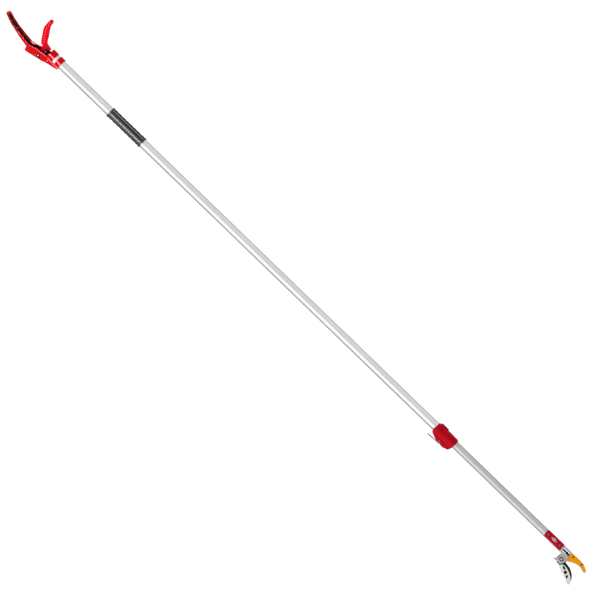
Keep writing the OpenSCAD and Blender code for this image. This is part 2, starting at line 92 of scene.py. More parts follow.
TOOL = placed(TOOL_X)
LOCK = placed(TUBE_HI.x, LOCK_TURN)
HEAD = placed(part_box("inner_tube")[1].x, HEAD_TURN)

# ---- Distance fields and their surfaces ----


class Field:
    """A block of space sampled every step millimetres, on which a shape's distance is built."""

    def __init__(self, lo, hi, step):
        self.lo = np.array(lo, float) - 2 * step
        self.step = step
        count = np.ceil((np.array(hi, float) + 2 * step - self.lo) / step).astype(int) + 1
        self.shape = tuple(count)
        axes = [self.lo[i] + step * np.arange(count[i]) for i in range(3)]
        self.x, self.y, self.z = np.meshgrid(*axes, indexing="ij", sparse=True)

    def pin(self, centre, r, z0, z1, edge=0.0):
        """A cylinder along z."""
        return thick(np.hypot(self.x - centre[0], self.y - centre[1]) - r, self.z, z0, z1, edge)

    def rod(self, x0, x1, r, edge=0.0):
        """A cylinder along the pole."""
        return thick(np.hypot(self.y, self.z) - r, self.x, x0, x1, edge)

    def plate(self, outline, z0, z1, edge=0.0):
        """A flat outline given thickness, with rounded edges."""
        return thick(outline_distance(self.x, self.y, outline), self.z, z0, z1, edge)


def thick(flat, along, start, end, edge=0.0):
    """A flat distance given thickness from start to end, its edges rounded by a radius."""
    a = flat + edge
    b = np.abs(along - (start + end) / 2) - (end - start) / 2 + edge
    outside = np.sqrt(np.maximum(a, 0) ** 2 + np.maximum(b, 0) ** 2)
    return np.minimum(np.maximum(a, b), 0) + outside - edge


def outline_distance(x, y, points):
    """Signed distance to a closed outline, negative inside."""
    best = np.full(np.broadcast(x, y).shape, 1e9)
    inside = np.zeros(best.shape, bool)
    for (ax, ay), (bx, by) in zip(points, points[1:] + points[:1]):
        ex, ey = bx - ax, by - ay
        if ex == 0 and ey == 0:
            continue
        t = np.clip(((x - ax) * ex + (y - ay) * ey) / (ex * ex + ey * ey), 0, 1)
        best = np.minimum(best, (x - ax - t * ex) ** 2 + (y - ay - t * ey) ** 2)
        if ey != 0:
            inside ^= ((ay > y) != (by > y)) & (x < ex * (y - ay) / ey + ax)
    return np.where(inside, -1, 1) * np.sqrt(best)


def join(a, b, k=0.01):
    """Union with a fillet of about k."""
    h = np.clip(0.5 + 0.5 * (b - a) / k, 0, 1)
    return b * (1 - h) + a * h - k * h * (1 - h)


def cut(a, b, k=0.01):
    """a without b, with the edge softened by about k."""
    return -join(-a, b, k)


def both(a, b, k=0.01):
    """Intersection with the edge softened by about k."""
    return -join(-a, -b, k)


def surface(field, d):
    """Vertices and quads of the field's zero level, with one vertex in each crossed cell."""
    d = np.broadcast_to(d, field.shape)
    inside = d < 0
    nx, ny, nz = inside.shape
    corners = sum(inside[i:nx - 1 + i, j:ny - 1 + j, k:nz - 1 + k].astype(np.int8)
                  for i, j, k in product((0, 1), repeat=3))
    mixed = (corners > 0) & (corners < 8)
    cells = np.argwhere(mixed)
    index = np.full(mixed.shape, -1)
    index[mixed] = np.arange(len(cells))
    total = np.zeros((len(cells), 3))
    count = np.zeros(len(cells))
    for axis in range(3):
        for o in product((0, 1), repeat=2):
            a = np.insert(np.array(o), axis, 0)
            b = np.insert(np.array(o), axis, 1)
            va = d[tuple((cells + a).T)]
            vb = d[tuple((cells + b).T)]
            crossed = (va < 0) != (vb < 0)
            t = va[crossed] / (va[crossed] - vb[crossed])
            total[crossed] += a + t[:, None] * (b - a)
            count[crossed] += 1
    vertices = field.lo + field.step * (cells + total / count[:, None])
    quads = []
    for axis in range(3):
        u, v = (axis + 1) % 3, (axis + 2) % 3
        lower = np.take(inside, np.arange(inside.shape[axis] - 1), axis)
        upper = np.take(inside, np.arange(1, inside.shape[axis]), axis)
        at = np.argwhere(lower != upper)
        at = at[(at[:, u] > 0) & (at[:, v] > 0)]
        du, dv = np.eye(3, dtype=int)[u], np.eye(3, dtype=int)[v]
        ring = np.stack([index[tuple((at - s).T)] for s in (du + dv, dv, 0 * du, du)], 1)
        leaves = lower[tuple(at.T)]
        quads.append(np.where(leaves[:, None], ring, ring[:, ::-1]))
    quads = np.concatenate(quads)
    return vertices, quads[(quads >= 0).all(1)]


# ---- Pieces ----


def add_piece(name, mesh, material, body, stands_for=()):
    """Puts a mesh in the scene as a piece of the object."""
    piece = bpy.data.objects.new(name, mesh)
    bpy.context.scene.collection.objects.link(piece)
    mesh.materials.append(material)
    for polygon in mesh.polygons:
        polygon.use_smooth = True
    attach(piece, body)
    if stands_for:
        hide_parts(*stands_for)
    return piece


def from_field(name, field, distance, matrix, material, body, stands_for=(), keep=1.0):
    """A piece whose surface is a field's zero level, thinned to a share keep of its faces."""
    vertices, quads = surface(field, distance)
    mesh = bpy.data.meshes.new(name)
    mesh.from_pydata(vertices.tolist(), [], quads.tolist())
    mesh.transform(matrix)
    piece = add_piece(name, mesh, material, body, stands_for)
    relax = piece.modifiers.new("relax", "CORRECTIVE_SMOOTH")
    relax.factor = 0.5
    relax.iterations = 3
    relax.smooth_type = "SIMPLE"
    relax.use_only_smooth = True
    if keep < 1:
        thin = piece.modifiers.new("thin", "DECIMATE")
        thin.ratio = keep
    apply_modifiers(piece)
    return piece


def apply_modifiers(piece):
    """Bakes a piece's modifiers into its mesh."""
    graph = bpy.context.evaluated_depsgraph_get()
    made = bpy.data.meshes.new_from_object(piece.evaluated_get(graph))
    old = piece.data
    piece.modifiers.clear()
    piece.data = made
    bpy.data.meshes.remove(old)


def lathe(name, profile, matrix, material, body, stands_for=(), centre=(0, 0), along="z",
          steps=48):
    """A piece turned about an axis from (radius, height) points, closed where the radius is 0."""
    bm = bmesh.new()
    rings = []
    for r, h in profile:
        count = steps if r > 0 else 1
        ring = []
        for i in range(count):
            a = 2 * math.pi * i / steps
            u, v = r * math.cos(a), r * math.sin(a)
            place = (centre[0] + u, centre[1] + v, h) if along == "z" else (h, u, v)
            ring.append(bm.verts.new(place))
        rings.append(ring)
    for low, high in zip(rings, rings[1:]):
        for i in range(steps):
            j = (i + 1) % steps
            face = [low[i % len(low)], low[j % len(low)], high[j % len(high)], high[i % len(high)]]
            unique = list(dict.fromkeys(face))
            if len(unique) > 2:
                bm.faces.new(unique)
    bmesh.ops.recalc_face_normals(bm, faces=bm.faces)
    mesh = bpy.data.meshes.new(name)
    bm.to_mesh(mesh)
    bm.free()
    mesh.transform(matrix)
    piece = add_piece(name, mesh, material, body, stands_for)
    piece.modifiers.new("edges", "EDGE_SPLIT").split_angle = math.radians(50)
    apply_modifiers(piece)
    return piece


def dome(r, height, base, skirt=0.0, rings=8):
    """Profile of a domed head of radius r that stands on base, with a straight skirt."""
    ball = (r * r + height * height) / (2 * height)
    reach = math.asin(min(1, r / ball))
    points = [(0, base), (r, base), (r, base + skirt)]
    for i in range(1, rings + 1):
        a = reach * (1 - i / rings)
        points.append((ball * math.sin(a), base + skirt + height - ball + ball * math.cos(a)))
    points[-1] = (0, base + skirt + height)
    return points


def arc(centre, r, start, end, steps):
    """Points of an arc, angles in degrees."""
    turns = [math.radians(start + (end - start) * i / steps) for i in range(steps + 1)]
    return [(centre[0] + r * math.cos(a), centre[1] + r * math.sin(a)) for a in turns]


def smooth(points, steps=5):
    """A Catmull-Rom curve through a line's points."""
    p = [np.array(q, float) for q in points]
    p = [2 * p[0] - p[1]] + p + [2 * p[-1] - p[-2]]
    line = []
    for i in range(1, len(p) - 2):
        for j in range(steps):
            t = j / steps
            a, b, c, d = p[i - 1:i + 3]
            line.append(tuple(0.5 * (2 * b + (c - a) * t + (2 * a - 5 * b + 4 * c - d) * t * t
                                     + (3 * b - a - 3 * c + d) * t ** 3)))
    return line + [tuple(p[-2])]


# ---- Materials ----


def material(name, colour, rough, grain, bump, metal=0.0, vary=0.06, edge_highlight=0.0,
             edge_highlight_colour=(0.6, 0.6, 0.6), specular=0.5, tint=(1, 1, 1)):
    """A finish whose colour, gloss and relief vary a little, with a painted highlight on sharp
    convex edges where the edge amount is over 0.

    grain is how fine the relief is, as one number or as one for each axis, and tint colours the
    reflections.
    """
    made = bpy.data.materials.new(name)
    made.use_nodes = True
    tree = made.node_tree
    nodes, links = tree.nodes, tree.links
    nodes.clear()
    out = nodes.new("ShaderNodeOutputMaterial")
    shader = nodes.new("ShaderNodeBsdfPrincipled")
    links.new(shader.outputs[0], out.inputs[0])
    shader.inputs["Metallic"].default_value = metal
    shader.inputs["Specular Tint"].default_value = (*tint, 1)
    shader.inputs["Specular IOR Level"].default_value = specular
    place = nodes.new("ShaderNodeTexCoord")
    scale = nodes.new("ShaderNodeMapping")
    scale.inputs["Scale"].default_value = grain if isinstance(grain, tuple) else (grain,) * 3
    links.new(place.outputs["Object"], scale.inputs["Vector"])
    fine = nodes.new("ShaderNodeTexNoise")
    fine.inputs["Scale"].default_value = 8
    fine.inputs["Detail"].default_value = 4
    links.new(scale.outputs["Vector"], fine.inputs["Vector"])
    broad = nodes.new("ShaderNodeTexNoise")
    broad.inputs["Scale"].default_value = 14
    broad.inputs["Detail"].default_value = 3
    links.new(place.outputs["Object"], broad.inputs["Vector"])
    tone = nodes.new("ShaderNodeValToRGB")
    dark = [c * (1 - vary) for c in colour]
    light = [min(1, c * (1 + vary)) for c in colour]
    tone.color_ramp.elements[0].position = 0.3
    tone.color_ramp.elements[0].color = (*dark, 1)
    tone.color_ramp.elements[1].position = 0.7
    tone.color_ramp.elements[1].color = (*light, 1)
    links.new(broad.outputs["Fac"], tone.inputs["Fac"])
    colour_from = tone.outputs["Color"]
    # Painted highlight: sharp convex edges, found by their pointiness, are mixed towards a lighter
    # colour that stands in for the light they catch.
    if edge_highlight > 0:
        geometry = nodes.new("ShaderNodeNewGeometry")
        ridge = nodes.new("ShaderNodeValToRGB")
        ridge.color_ramp.elements[0].position = 0.53
        ridge.color_ramp.elements[0].color = (0, 0, 0, 1)
        ridge.color_ramp.elements[1].position = 0.62
        ridge.color_ramp.elements[1].color = (edge_highlight, edge_highlight, edge_highlight, 1)
        links.new(geometry.outputs["Pointiness"], ridge.inputs["Fac"])
        mix = nodes.new("ShaderNodeMix")
        mix.data_type = "RGBA"
        mix.inputs["B"].default_value = (*edge_highlight_colour, 1)
        links.new(ridge.outputs["Color"], mix.inputs["Factor"])
        links.new(colour_from, mix.inputs["A"])
        colour_from = mix.outputs["Result"]
    links.new(colour_from, shader.inputs["Base Color"])
    gloss = nodes.new("ShaderNodeMapRange")
    gloss.inputs["To Min"].default_value = max(0.02, rough - 0.05)
    gloss.inputs["To Max"].default_value = min(1, rough + 0.07)
    links.new(fine.outputs["Fac"], gloss.inputs["Value"])
    links.new(gloss.outputs["Result"], shader.inputs["Roughness"])
    relief = nodes.new("ShaderNodeBump")
    relief.inputs["Strength"].default_value = bump
    relief.inputs["Distance"].default_value = 0.0004
    links.new(fine.outputs["Fac"], relief.inputs["Height"])
    links.new(relief.outputs["Normal"], shader.inputs["Normal"])
    return made


# The lighter edge colours given to these finishes are painted edge highlights.
RED = material("red_enamel", (0.57, 0.0, 0.003), 0.1, 90, 0.03, edge_highlight=0.15,
               edge_highlight_colour=(0.85, 0.02, 0.03), specular=0.3, tint=(1, 0.22, 0.24))
LEVER_RED = material("lever_red", (0.68, 0.0, 0.008), 0.22, 90, 0.04, edge_highlight=0.15,
                     edge_highlight_colour=(0.9, 0.03, 0.05), specular=0.12, tint=(1, 0.3, 0.35))
# Dark red plastic of the lock; on the grip's ribs the same darker red is painted shade.
DARK_RED_AND_SHADE = material("dark_red_plastic", (0.38, 0.0, 0.008), 0.28, 120, 0.08, edge_highlight=0.25,
                    edge_highlight_colour=(0.62, 0.01, 0.02), specular=0.22, tint=(1, 0.25, 0.3))
COVER_RED = material("cover_red", (0.36, 0.0, 0.01), 0.3, 120, 0.06, edge_highlight=0.25,
                     edge_highlight_colour=(0.7, 0.02, 0.04), specular=0.22, tint=(1, 0.4, 0.5))
ORANGE = material("orange_plastic", (0.8, 0.29, 0.0), 0.36, 110, 0.07, edge_highlight=0.15,
                  edge_highlight_colour=(0.95, 0.48, 0.03), specular=0.15, tint=(1, 0.7, 0.2))
TUBE = material("anodised_tube", (0.93, 0.93, 0.94), 0.34, (3, 260, 260), 0.1, metal=0.92,
                vary=0.02, tint=(0.45, 0.45, 0.48))
INNER_TUBE = material("anodised_inner", (0.63, 0.62, 0.635), 0.4, (3, 260, 260), 0.1, metal=0.8,
                      vary=0.02, tint=(0.3, 0.3, 0.33))
CAST = material("cast_aluminium", (0.5, 0.49, 0.495), 0.5, 330, 0.5, metal=0.6)
BADGE = material("badge_metal", (0.62, 0.6, 0.61), 0.25, 200, 0.1, metal=0.9, edge_highlight=0.5,
                 edge_highlight_colour=(0.9, 0.9, 0.92))
CHROME = material("chrome", (0.7, 0.65, 0.58), 0.06, 60, 0.01, metal=1.0, vary=0.02)
ZINC = material("zinc_steel", (0.5, 0.5, 0.51), 0.32, 200, 0.12, metal=0.95)
# A dark zinc finish, which on the clamp lever's strip is also painted shade.
DARK_ZINC_AND_SHADE = material("dark_zinc_and_painted_shade", (0.14, 0.135, 0.14), 0.3, 200, 0.12, metal=0.9)
SPRING = material("spring_steel", (0.6, 0.6, 0.61), 0.25, 200, 0.1, metal=1.0)
STAINLESS = material("stainless", (0.92, 0.91, 0.87), 0.34, (500, 90, 90), 0.12, metal=0.75,
                     vary=0.08, edge_highlight=0.3, edge_highlight_colour=(0.95, 0.95, 0.93))
HOOK_STEEL = material("hook_steel", (0.38, 0.38, 0.39), 0.35, (300, 60, 60), 0.1, metal=0.9)
BLACK_BLADE = material("black_blade", (0.004, 0.004, 0.005), 0.3, 160, 0.08, edge_highlight=0.2,
                       edge_highlight_colour=(0.08, 0.08, 0.08), specular=0.1)
# Black steel of the pull rod and yoke; the same black is also painted shade in the bolt's groove
# and the cover rivets' recesses.
BLACK_STEEL_AND_SHADE = material("black_steel", (0.004, 0.004, 0.004), 0.4, 160, 0.1, specular=0.08)
# Painted shade: near black rivet heads that stand in for the shade at the pad's rivets.
SHADED_RIVET = material("dark_rivet", (0.05, 0.02, 0.03), 0.3, 160, 0.1, metal=0.6)
BROWN_RIVET = material("brown_rivet", (0.2, 0.17, 0.13), 0.35, 160, 0.1, metal=0.8)
RUBBER = material("black_rubber", (0.03, 0.03, 0.03), 0.26, 170, 0.15, vary=0.15, specular=0.55)
# Painted shade: the band's darker black stands in for the dark bands of shade beside the seam; its
# matt gloss is the band's own finish.
MATT_SHADED_RUBBER = material("matt_rubber_painted_shade", (0.016, 0.016, 0.016), 0.5, 170, 0.15, vary=0.15,
                       specular=0.15)
# Painted highlight: the seam's light grey stands in for the light caught along the raised seam.
SEAM_HIGHLIGHT = material("rubber_seam_highlight", (0.2, 0.2, 0.205), 0.3, 170, 0.08, specular=0.8)
# Black nylon of the channel liner and the brake shoe; the same black is also painted shade in the
# lever's well and the pin's recesses.
BLACK_NYLON_AND_SHADE = material("black_nylon", (0.004, 0.0035, 0.0035), 0.4, 150, 0.1, specular=0.05)
# Painted shade: a dark brown-red that stands in for the channel's red far wall lying in shade.
PAINTED_WALL_SHADE = material("painted_wall_shade", (0.12, 0.006, 0.008), 0.3, (30, 150, 150), 0.25, vary=0.5,
                       specular=0.15)
WHITE_NYLON = material("white_nylon", (0.82, 0.82, 0.8), 0.45, 150, 0.05, vary=0.03)
LABEL = material("white_label", (0.74, 0.76, 0.8), 0.4, 150, 0.02, vary=0.02)
BRASS = material("brass", (0.62, 0.45, 0.18), 0.3, (30, 300, 300), 0.1, metal=1.0)
# Painted highlight: the dots' pale pink stands in for the light they catch on the red lever.
DOT_HIGHLIGHT = material("lever_dot_highlight", (0.93, 0.3, 0.34), 0.25, 120, 0.02)

# The finishes that each gloss light shines on.
GLEAM_ON = (RED,)
SHEEN_ON = (RUBBER, MATT_SHADED_RUBBER)

# ---- Handle ----

PIVOT = (-69.4, -21.6)
LINK_PIN = (-61.6, -3.2)
FACE_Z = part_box("handle_body")[1].z / MM - AXIS_Z / MM
CAVITY_HALF = 9.5
PIN_SEAT_Z = FACE_Z - 2.6
PIN_BORE = 2.7
RINGS = ((-50.4, -30.4), (-23.4, -7.5))
RING_Y, RING_R = 0.9, 14.9
RIBS = (-181, -157, -133.5)

PALM = smooth([(-104, -33), (-106, -29.6), (-110, -29), (-122, -26.8), (-140, -23.1),
               (-158, -18), (-176, -12.8), (-188, -8.4), (-200, -2.4)])
RIM = smooth([(-197, 2.6), (-188, -0.6), (-182, -2.7), (-170, -5.8), (-158, -8.6), (-140, -11.7),
              (-122, -13.9), (-110, -15.3)])
GRIP_SIDE = PALM + arc((-202.6, 1), 3.4, 238, 50, 10) + RIM + [(-92, -15), (-92, -34.4)]
CHEEK_TOP = [(-105, -18), (-98, -15), (-92, -12.4), (-86, -9.9), (-80, -8.6), (-68, -7.2),
             (-62, -5.8), (-52, -5), (-47, 0)]
CHEEK_SIDE = [(-47, -24.4), (-101, -37.4), (-106, -36), (-107.5, -29)] + CHEEK_TOP
STRUT_SIDE = [(-7.5, -14.3), (-101, -36.5), (-101, -24), (-48, -8), (-7.5, -8)]
CAVITY_SIDE = [(-50.4, 20), (-50.4, -22.4), (-75, -28), (-97, -30), (-97, 20)]
FLOOR_SIDE = smooth([(-97, -28.4), (-110, -26), (-122, -23.8), (-140, -20.1), (-158, -15),
                     (-176, -9.8), (-188, -5.4), (-197, -0.8), (-200.5, 1.2)])
CHANNEL_SIDE = [(-90, 6), (-90, -28.4)] + FLOOR_SIDE + [(-200.5, 9), (-189, 12), (-150, 6)]

GRIP_HALF, GRIP_FLARE = 9, 6
TIP_POWER = 2.3
SIDE_LEAN = 0.92


def height(line, x):
    """Height of a line of points at x."""
    return np.interp(x, *zip(*sorted(line)))


def trough(f, inset=0.0, blunt=-196.0, end=-206.2):
    """Distance to the grip's sides, which lean outwards to the rim and close from blunt to end."""
    low = height(PALM, f.x)
    share = np.clip((f.y - low) / (height(RIM, f.x) - low), 0, 1)
    reach = np.clip((blunt - f.x) / (blunt - end), 0, 1)
    half = (GRIP_HALF + GRIP_FLARE * share - inset) * np.sqrt(1 - reach ** TIP_POWER)
    return (np.abs(f.z) - half) * SIDE_LEAN


def channel_distance(f, inset):
    """Distance to the grip's open channel."""
    flat = outline_distance(f.x, f.y, CHANNEL_SIDE)
    return both(flat + inset - 2.2, trough(f, inset, blunt=-186.0, end=-200.6), 1.4)


def handle_body():
    """The red casting: channel grip, two cheeks and a strut to the collar's two rings."""
    f = Field((-207, -38.4, -15.6), (-7, 16.6, 15.6), 0.8)
    grip = both(outline_distance(f.x, f.y, GRIP_SIDE), trough(f), 3.0)
    cheeks = f.plate(CHEEK_SIDE, -FACE_Z, FACE_Z, 1.2)
    strut = f.plate(STRUT_SIDE, -13, 13, 1.5)
    round_ring = np.hypot(f.y - RING_Y, f.z) - RING_R
    rings = np.minimum(*(thick(round_ring, f.x, *ring, 1.0) for ring in RINGS))
    body = join(join(join(grip, cheeks, 2.5), strut, 1.2), rings, 1.2)
    body = np.maximum(body, np.abs(f.z) - FACE_Z + 0.05)
    body = cut(body, f.rod(TUBE_REAR, 5, OUTER_R + 0.1))
    body = cut(body, f.rod(-60, TUBE_REAR + 1, 9.0))
    body = cut(body, f.rod(RINGS[0][1], RINGS[1][0], OUTER_R + 0.4))
    body = cut(body, f.plate(CAVITY_SIDE, -CAVITY_HALF, CAVITY_HALF), 0.8)
    body = cut(body, channel_distance(f, 2.2), 0.9)
    for side in (1, -1):
        recess = f.plate([(-47, -14.6), (-24, -14.6), (-24, -16.2), (-47, -21.4)],
                         *sorted((4 * side, 20 * side)))
        body = cut(body, recess, 0.6)
        body = cut(body, f.pin(PIVOT, 6.2, *sorted((side * PIN_SEAT_Z, side * 20))), 0.8)
    body = cut(body, f.pin(PIVOT, PIN_BORE, -20, 20))
    from_field("handle_body.moulding", f, body, TOOL, RED, "handle_and_pole",
               ["handle_body"], keep=0.6)


def grip_inlay():
    """The channel's black liner, its upper walls in dark brown-red as painted shade, red ribs in a
    darker red as painted shade, and a black sheet of painted shade in the lever's well.
    """
    wall = 0.9
    f = Field((-203, -30, -13.4), (-95, 10, 13.4), 0.6)
    channel = channel_distance(f, 2.3)
    liner = np.maximum(both(channel, outline_distance(f.x, f.y, GRIP_SIDE) + 1.3), f.x + 96)
    liner = np.maximum(liner, -(channel + wall))
    low, high = height(FLOOR_SIDE, f.x), height(RIM, f.x)
    parting = f.y - low - 0.3 * (high - low)
    from_field("grip_inlay.liner", f, np.maximum(liner, parting), TOOL, BLACK_NYLON_AND_SHADE,
               "handle_and_pole", ["grip_inlay"], keep=0.5)
    # Painted shade: the channel's upper walls, above the black liner, get the dark brown-red.
    upper = np.maximum(np.maximum(liner, -parting), f.y - high + 4.2)
    from_field("grip_inlay.upper", f, upper, TOOL, PAINTED_WALL_SHADE, "handle_and_pole",
               keep=0.5)
    # Painted shade: the ribs are the casting's own red, given the darker red for the shade inside
    # the channel.
    for i, x in enumerate(RIBS):
        low, high = height(FLOOR_SIDE, x) + 0.5, height(RIM, x) - 1.3
        g = Field((x - 2, low - 1, -13.4), (x + 2, high + 1, 13.4), 0.35)
        flat = np.maximum(np.abs(g.x - x) - 0.8, np.abs(g.y - (low + high) / 2) - (high - low) / 2)
        from_field(f"grip_inlay.rib_{i}", g, both(flat, trough(g, 3.2), 0.4), TOOL, DARK_RED_AND_SHADE,
                   "handle_and_pole", keep=0.5)
    # Painted shade: a black sheet lines the lever's well, a deep cavity that only lies in shade.
    g = Field((-97, -31, -9.8), (-50, 2, 9.8), 0.42)
    cavity = np.maximum(outline_distance(g.x, g.y, CAVITY_SIDE), np.abs(g.z) - CAVITY_HALF)
    well = np.maximum(cavity, g.y - height(CHEEK_TOP, g.x) + 1.6)
    well = np.maximum(np.maximum(well, -(cavity + 0.6)), -g.pin(PIVOT, 5.2, -20, 20))
    from_field("grip_inlay.well_shade", g, np.maximum(well, g.x + 51.2), TOOL, BLACK_NYLON_AND_SHADE,
               "handle_and_pole", keep=0.5)


def lever_parts():
    """The squeeze lever and the row of dots down each of its faces, pale pink as a painted
    highlight.
    """
    left = smooth([(-78, 2), (-84.2, 6), (-90.5, 14.5), (-97, 27), (-103, 38), (-106, 47),
                   (-106.6, 58), (-106.4, 68)], 4)
    right = smooth([(-95.6, 68), (-94.6, 59), (-92, 52), (-86.8, 42), (-81, 31), (-76.5, 20.5),
                    (-71.5, 14.5), (-62, 12), (-54.5, 9.6)], 4)
    side = left + arc((-101, 69.5), 5.5, 165, 15, 8) + right + [(-54.5, 7.4), (-66, 7.4)]
    arm = [(-73.6, -20), (-79, 4), (-74, 9), (-60, 9), (-57.3, -2.4), (-58.5, -6), (-62.6, -13),
           (-65.2, -22)]
    f = Field((-108, -27, -7.8), (-53, 76, 7.8), 0.65)
    clear = np.hypot(f.x - PIVOT[0], f.y - PIVOT[1]) - 28.5
    lever = thick(np.maximum(outline_distance(f.x, f.y, side), -clear), f.z, -7.6, 7.6, 3.6)
    lever = join(lever, f.plate(arm, -2.5, 2.5, 0.6), 0.8)
    lever = join(lever, f.pin(PIVOT, 4.5, -7.6, 2.5, 0.4), 0.4)
    lever = cut(lever, f.pin(PIVOT, PIN_BORE, -20, 20), 0.2)
    from_field("trigger_lever.moulding", f, lever, TOOL, LEVER_RED, "squeeze_lever",
               ["trigger_lever"], keep=0.7)
    # The dots are pale pink, a painted highlight on the red lever.
    line = smooth([(-81, 16), (-88, 27), (-94.5, 40), (-98.5, 52), (-101, 68)], 1)
    line = smooth(line, 2)
    for i, (x, y) in enumerate(line):
        for side_name, sign in (("front", 1), ("back", -1)):
            m = TOOL @ Matrix.Translation((x, y, sign * 7.4)) @ Matrix.Diagonal((1, 1, sign, 1))
            lathe(f"trigger_lever.dot_{side_name}_{i:02d}", dome(1.15, 0.7, 0), m, DOT_HIGHLIGHT,
                  "squeeze_lever", steps=12)


# ---- Soft grip ----


SEAM_ANGLE = math.radians(25)
SWELLS, FLANGE = 8, 5.0
BAND_HALF, SEAM_HALF = 0.5, 0.09


def from_seam(a):
    """How far an angle about the pole is from the seam."""
    return abs(math.atan2(math.sin(a - SEAM_ANGLE), math.cos(a - SEAM_ANGLE)))


def soft_grip():
    """The sleeve: a waved surface, a smooth band down one side painted darker as shade, and a
    raised seam in the band painted light grey as a highlight.
    """
    lo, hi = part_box("soft_grip")
    start, length = (lo.x - TOOL_X) / MM, (hi.x - lo.x) / MM
    flange_r = (hi.y - lo.y) / 2 / MM
    around = 144
    stations = [0.0] + [length * i / 260 for i in range(261)] + [length]

    def radius(i, x, a):
        away = from_seam(a)
        if i in (0, len(stations) - 1):
            return OUTER_R + 0.02
        edge = min(x, length - x)
        if edge < FLANGE:
            return flange_r - 0.5 * max(0, 1 - edge / 0.8) ** 2 - 0.9 * max(0, edge - FLANGE + 1)
        u = (x - FLANGE) / (length - 2 * FLANGE)
        swell = abs(math.sin(math.pi * SWELLS * u))
        ripple = math.cos(6 * math.pi * SWELLS * u)
        waved = OUTER_R + 0.9 + 0.95 * swell ** 0.7 + 0.2 * ripple
        groove = min(1.0, max(0.0, (0.52 - away) / 0.14))
        rise = min(1.0, max(0.0, (0.075 - away) / 0.02))
        return waved * (1 - groove) + (OUTER_R + 0.7) * groove + 1.3 * rise

    meshes = {}
    for kind in ("wave", "band", "seam"):
        bm = bmesh.new()
        grid = [[bm.verts.new((start + x, radius(i, x, a) * math.cos(a),
                               radius(i, x, a) * math.sin(a)))
                 for a in (2 * math.pi * j / around for j in range(around))]
                for i, x in enumerate(stations)]
        for i, (low, high) in enumerate(zip(grid, grid[1:])):
            for j in range(around):
                away = from_seam(2 * math.pi * (j + 0.5) / around)
                inside = FLANGE < (stations[i] + stations[i + 1]) / 2 < length - FLANGE
                belongs = "seam" if inside and away < SEAM_HALF else (
                    "band" if inside and away < BAND_HALF else "wave")
                if belongs == kind:
                    k = (j + 1) % around
                    bm.faces.new((low[j], low[k], high[k], high[j]))
        bmesh.ops.delete(bm, geom=[v for v in bm.verts if not v.link_faces], context="VERTS")
        bmesh.ops.recalc_face_normals(bm, faces=bm.faces)
        meshes[kind] = bpy.data.meshes.new(f"soft_grip.{kind}")
        bm.to_mesh(meshes[kind])
        bm.free()
        meshes[kind].transform(TOOL)
    # The band's darker black is painted shade; the seam's light grey is a painted highlight.
    finishes = {"wave": RUBBER, "band": MATT_SHADED_RUBBER, "seam": SEAM_HIGHLIGHT}
    for kind, mesh in meshes.items():
        add_piece(f"soft_grip.{kind}", mesh, finishes[kind], "handle_and_pole",
                  ["soft_grip"] if kind == "wave" else ())


# ---- Telescope lock ----


LOCK_PIN = (9.5, -20.8)


def lock_housing():
    """The clamp's eight-sided body with its keel, raised block, ribs and the lever's slot."""
    side = [(-24.6, -8.6), (-20.4, -16.6), (-4, -23.4), (0, -24.8), (30.8, -25.6), (40.7, -22.5),
            (44.6, -13.5), (45.9, 12.2), (42, 15.2), (7.4, 15.2), (7.4, 18.2), (-16.5, 18.2),
            (-16.5, 14.6), (-22.2, 13.8)]
    slot = [(0.4, -8), (18.8, -8), (18.8, -25.8), (16.9, -25.8), (16.9, -30), (-8, -30),
            (-8, -17), (0.4, -17)]
    keel = [(-14, -8), (-14, 8), (-18, 10), (-28, 9), (-28, -9), (-18, -10)]
    eight = arc((0, 0), FACE_Z / math.cos(math.pi / 8), 0, 315, 7)
    f = Field((-25, -27, -15.6), (46.4, 19, 15.6), 0.65)
    shape = thick(outline_distance(f.x, f.y, side), f.z, -20, 20)
    ring = outline_distance(f.y, f.z, eight)
    block = outline_distance(f.y, f.z, [(0, -6), (20, -6), (20, 6), (0, 6)])
    section = join(join(ring, outline_distance(f.y, f.z, keel), 7.0), block, 1.0)
    body = both(shape, section, 1.2)
    for i in range(5):
        groove = np.maximum(np.abs(f.x - 31 - 2.7 * i) - 0.65, 14.5 - np.hypot(f.y, f.z))
        body = cut(body, np.maximum(groove, 2.5 - f.y), 0.4)
    for sign, y in product((1, -1), (-2.2, 1.0, 4.2)):
        body = cut(body, np.maximum(np.abs(f.y - y) - 0.55, 14.6 - sign * f.z), 0.3)
    body = cut(body, f.rod(-40, 0, OUTER_R + 0.1), 0.2)
    body = cut(body, f.rod(-1, 60, INNER_R + 0.4), 0.2)
    body = cut(body, f.plate(slot, -6.4, 6.4), 0.3)
    body = cut(body, f.plate([(16.8, -26.2), (31, -26.2), (31, -30), (16.8, -30)], -6.4, 6.4), 0.3)
    body = cut(body, f.pin(LOCK_PIN, 2.1, -20, 20), 0.2)
    body = cut(body, np.maximum(np.hypot(f.x + 6, f.z) - 3.8, 15 - f.y), 0.3)
    from_field("lock_housing.moulding", f, body, LOCK, DARK_RED_AND_SHADE, "handle_and_pole",
               ["lock_housing"], keep=0.7)


# ---- Head ----

BLADE_PIVOT = (18, -23.2)
HOOK_SPINE = [(46.5, 9.4), (63.4, 8.8), (70.8, 7.4), (77.2, 5), (82.8, 2.4), (87.3, -0.6)]
HOOK_TIP = [(88.2, -2.6), (87.7, -4.6), (85.5, -5.6), (82, -5)]
HOOK_INNER = [(76, -2.6), (69.7, -1.8), (64, -1.7), (58, -2.7), (51.5, -4.7), (45.7, -7.3),
              (38.2, -12), (31.2, -15.8)]
PAD_RIVETS = ((37.2, 2.3), (66.8, 3.8))
PLATE_RIVETS = ((36, -41), (66, -50))
COVER_REAR, COVER_TOP, COVER_HALF = -59, 13, 10.1
COVER_RIVETS = (-50.5, -10)
BADGE_X = -30.5


